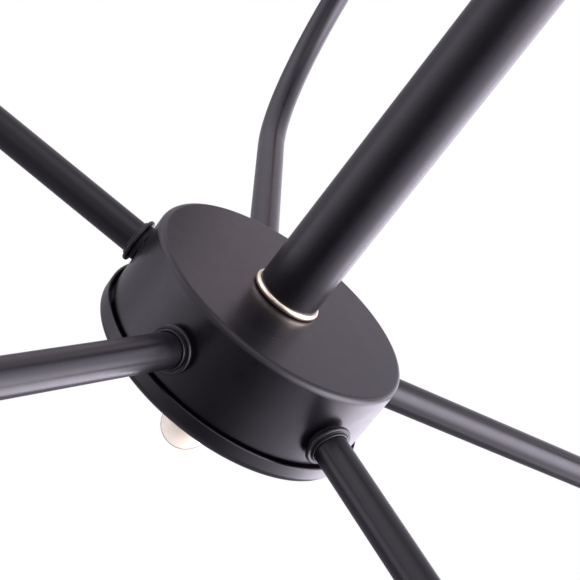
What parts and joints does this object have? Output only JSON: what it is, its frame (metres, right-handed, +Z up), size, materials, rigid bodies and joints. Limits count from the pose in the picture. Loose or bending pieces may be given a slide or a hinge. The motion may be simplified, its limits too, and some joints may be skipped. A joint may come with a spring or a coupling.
{
  "type": "sputnik chandelier",
  "caption": "Hanging ceiling light with a rigid down-rod, drum hub, radial upturned arms with screw lampholders, bottom cover and ball finial.",
  "frame": {"origin": "centre of the bracket's top face, in the ceiling plane, on the rod's axis", "axes": "+Z up to the ceiling; +Y along the arm that points away in the picture; the bracket's strap and the knuckle's pivot lie along X"},
  "size_m": [0.5956, 0.5684, 0.6264],
  "materials": {
    "black": "satin black powder coat, smooth",
    "gold": "polished pale gold plate",
    "zinc": "bright zinc plated steel",
    "brass": "plain stamped brass",
    "phenolic": "moulded black thermoset",
    "nylon": "moulded pale nylon"
  },
  "bodies": {
    "canopy": {"ceiling_bracket": "zinc", "canopy_shell": "black", "canopy_screws": "black", "earth_screw": "brass", "terminal_block": "nylon", "knuckle_fork": "black", "canopy_washer": "zinc", "canopy_nut": "zinc"},
    "suspension": {"knuckle_tongue": "black", "pivot_screws": "black", "upper_rod": "black", "rod_coupler": "black", "lower_rod": "black", "rod_foot_plug": "zinc", "base_ring": "gold", "hub_drum": "black", "hub_bridge": "zinc", "hub_washer": "zinc", "hub_nut": "zinc", "hub_nipple": "zinc", "hub_terminal": "nylon", "arm_1": "black", "arm_collar_1": "black", "socket_ring_1": "gold", "socket_cup_1": "black", "lampholder_1": "phenolic", "screw_shell_1": "brass", "arm_2": "black", "arm_collar_2": "black", "socket_ring_2": "gold", "socket_cup_2": "black", "lampholder_2": "phenolic", "screw_shell_2": "brass", "arm_3": "black", "arm_collar_3": "black", "socket_ring_3": "gold", "socket_cup_3": "black", "lampholder_3": "phenolic", "screw_shell_3": "brass", "arm_4": "black", "arm_collar_4": "black", "socket_ring_4": "gold", "socket_cup_4": "black", "lampholder_4": "phenolic", "screw_shell_4": "brass", "arm_5": "black", "arm_collar_5": "black", "socket_ring_5": "gold", "socket_cup_5": "black", "lampholder_5": "phenolic", "screw_shell_5": "brass", "arm_inner_nipples": "zinc", "arm_washers": "zinc", "arm_nuts": "zinc", "arm_outer_nipples": "zinc", "lampholder_caps": "phenolic", "lamp_contacts": "brass"},
    "cover": {"bottom_cover": "black"},
    "finial": {"finial": "gold", "finial_stud": "zinc"}
  },
  "joints": [
    {"name": "knuckle_tilt", "type": "hinge", "parent": "canopy", "child": "suspension", "pos_m": [0, 0, -0.0464], "axis": [1, 0, 0], "range_deg": [-45, 45]},
    {"name": "cover_drop", "type": "slide", "parent": "suspension", "child": "cover", "axis": [0, 0, -1], "range_m": [0, 0.008]},
    {"name": "finial_unscrew", "type": "hinge", "parent": "cover", "child": "finial", "pos_m": [0, 0, -0.598], "axis": [0, 0, -1], "range_deg": [0, 2880]}
  ],
  "couplings": [
    {"joint": "finial_unscrew", "follows": "cover_drop", "rad_per_m": 6283.2}
  ]
}
